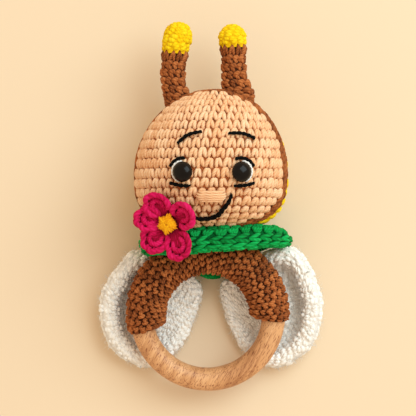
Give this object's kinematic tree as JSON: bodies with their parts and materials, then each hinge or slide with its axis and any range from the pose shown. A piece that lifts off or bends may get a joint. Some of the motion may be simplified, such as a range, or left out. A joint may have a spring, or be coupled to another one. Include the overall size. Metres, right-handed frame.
{
  "type": "baby rattle",
  "caption": "Crocheted bee-doll rattle: stuffed head with capsule inside, antennae, scarf and flower, sewn to a sleeve on a wooden teething ring with soft wings behind.",
  "frame": {"origin": "on the table under the middle of the stuffed head, where the toy lies on its back", "axes": "+Z out of the table, the way the face looks; +Y from the ring towards the antennae; +X to the right seen from the front"},
  "size_m": [0.1032, 0.1675, 0.0654],
  "materials": {
    "peach_yarn": "crocheted cotton, peach",
    "brown_yarn": "crocheted cotton, brown",
    "yellow_yarn": "crocheted cotton, yellow",
    "green_yarn": "crocheted cotton, green",
    "pink_yarn": "crocheted cotton, deep pink",
    "amber_yarn": "crocheted cotton, amber",
    "white_yarn": "crocheted fluffy yarn, white",
    "black_thread": "stitched black thread",
    "white_thread": "stitched white thread",
    "eye_plastic": "glossy black",
    "pale_plastic": "pale moulded plastic",
    "beech_wood": "smooth beech",
    "fibrefill": "loose fibrefill"
  },
  "bodies": {
    "toy": {"face_panel": "peach_yarn", "hood_band": "brown_yarn", "hood_back": "yellow_yarn", "front_stuffing": "fibrefill", "rear_stuffing": "fibrefill", "capsule_front": "pale_plastic", "capsule_rear": "pale_plastic", "eye_left": "eye_plastic", "eye_right": "eye_plastic", "eye_washer_left": "pale_plastic", "eye_washer_right": "pale_plastic", "eye_white_left": "white_thread", "eye_white_right": "white_thread", "upper_lash_left": "black_thread", "upper_lash_right": "black_thread", "lower_lash_left": "black_thread", "lower_lash_right": "black_thread", "brow_left": "black_thread", "brow_right": "black_thread", "nose_stitch": "peach_yarn", "mouth_stitch": "black_thread", "ring_sleeve": "brown_yarn", "neck_scarf": "green_yarn", "flower_petals": "pink_yarn", "flower_heart": "amber_yarn"},
    "ring": {"wooden_ring": "beech_wood"},
    "antenna_left": {"antenna_stem_left": "brown_yarn", "antenna_tip_left": "yellow_yarn", "antenna_stuffing_left": "fibrefill"},
    "antenna_right": {"antenna_stem_right": "brown_yarn", "antenna_tip_right": "yellow_yarn", "antenna_stuffing_right": "fibrefill"},
    "left_wing": {"wing_left": "white_yarn"},
    "right_wing": {"wing_right": "white_yarn"},
    "bead_1": {"pellet_1": "pale_plastic"},
    "bead_2": {"pellet_2": "pale_plastic"},
    "bead_3": {"pellet_3": "pale_plastic"},
    "bead_4": {"pellet_4": "pale_plastic"},
    "bead_5": {"pellet_5": "pale_plastic"},
    "bead_6": {"pellet_6": "pale_plastic"},
    "bead_7": {"pellet_7": "pale_plastic"}
  },
  "joints": [
    {"name": "ring_turn", "type": "hinge", "parent": "toy", "child": "ring", "pos_m": [-0.0015, -0.06338, 0.01908], "axis": [0, -0.1392, 0.9903], "continuous": true},
    {"name": "antenna_left_bend", "type": "hinge", "parent": "toy", "child": "antenna_left", "pos_m": [-0.01623, 0.04033, 0.02745], "axis": [0, 0, 1], "range_deg": [-10, 20], "stiffness_Nm_per_rad": 0.01},
    {"name": "antenna_right_bend", "type": "hinge", "parent": "toy", "child": "antenna_right", "pos_m": [0.00952, 0.04284, 0.02963], "axis": [0, 0, 1], "range_deg": [-20, 10], "stiffness_Nm_per_rad": 0.01},
    {"name": "wing_left_flap", "type": "hinge", "parent": "toy", "child": "left_wing", "pos_m": [-0.0025, -0.06144, 0.00532], "axis": [0, 0.9903, 0.1392], "range_deg": [-25, 0], "stiffness_Nm_per_rad": 0.02},
    {"name": "wing_right_flap", "type": "hinge", "parent": "toy", "child": "right_wing", "pos_m": [0.0025, -0.06144, 0.00532], "axis": [0, 0.9903, 0.1392], "range_deg": [0, 25], "stiffness_Nm_per_rad": 0.02},
    {"name": "bead_1_slide", "type": "slide", "parent": "toy", "child": "bead_1", "axis": [0, 0, 1], "range_m": [0, 0.0175]},
    {"name": "bead_2_slide", "type": "slide", "parent": "toy", "child": "bead_2", "axis": [0, 0, 1], "range_m": [0, 0.0137]},
    {"name": "bead_3_slide", "type": "slide", "parent": "toy", "child": "bead_3", "axis": [0, 0, 1], "range_m": [0, 0.0137]},
    {"name": "bead_4_slide", "type": "slide", "parent": "toy", "child": "bead_4", "axis": [0, 0, 1], "range_m": [0, 0.0137]},
    {"name": "bead_5_slide", "type": "slide", "parent": "toy", "child": "bead_5", "axis": [0, 0, 1], "range_m": [0, 0.0137]},
    {"name": "bead_6_slide", "type": "slide", "parent": "toy", "child": "bead_6", "axis": [0, 0, 1], "range_m": [0, 0.0137]},
    {"name": "bead_7_slide", "type": "slide", "parent": "toy", "child": "bead_7", "axis": [0, 0, 1], "range_m": [0, 0.0137]}
  ]
}
